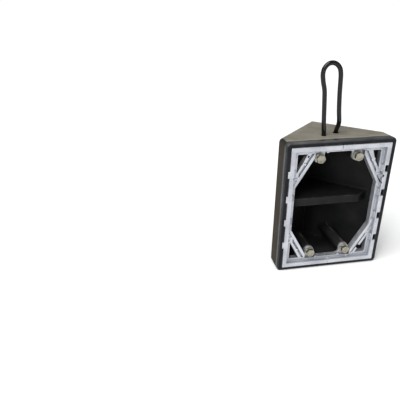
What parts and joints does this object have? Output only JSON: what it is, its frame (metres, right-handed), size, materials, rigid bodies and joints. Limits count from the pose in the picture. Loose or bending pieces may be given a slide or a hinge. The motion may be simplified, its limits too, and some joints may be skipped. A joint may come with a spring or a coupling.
{
  "type": "wheel chock",
  "caption": "Hollow moulded wheel chock, a wedge-backed prism with a bolted cast grip frame on its open side and a bent wire handle.",
  "frame": {"origin": "middle of the bounding box's bottom face, so the part stands on one end wall", "axes": "+Z along the length of the prism, towards the handle; -Y out of the grip frame; +Y towards the ridge; +X to the right, seen from the grip frame"},
  "size_m": [0.203, 0.139, 0.382],
  "materials": {
    "body_plastic": "semi-gloss black moulding, duller and greyer on its end walls",
    "cast_aluminium": "bare cast, fine grain, bright on its edges",
    "black_wire": "gloss black coating",
    "screw_zinc": "yellowish zinc plate",
    "washer_zinc": "bright zinc plate",
    "insert_brass": "turned",
    "clip_steel": "spring steel"
  },
  "bodies": {
    "root": {"body_shell": "body_plastic", "grip_frame_left": "cast_aluminium", "grip_frame_right": "cast_aluminium", "wire_handle": "black_wire", "handle_clip_left": "clip_steel", "handle_clip_right": "clip_steel", "threaded_insert_top_left": "insert_brass", "threaded_insert_top_right": "insert_brass", "threaded_insert_bottom_left": "insert_brass", "threaded_insert_bottom_right": "insert_brass", "flat_washer_top_left": "washer_zinc", "flat_washer_top_right": "washer_zinc", "flat_washer_bottom_left": "washer_zinc", "flat_washer_bottom_right": "washer_zinc", "lock_washer_top_left": "washer_zinc", "lock_washer_top_right": "washer_zinc", "lock_washer_bottom_left": "washer_zinc", "lock_washer_bottom_right": "washer_zinc", "frame_screw_top_left": "screw_zinc", "frame_screw_top_right": "screw_zinc", "frame_screw_bottom_left": "screw_zinc", "frame_screw_bottom_right": "screw_zinc"}
  },
  "joints": []
}
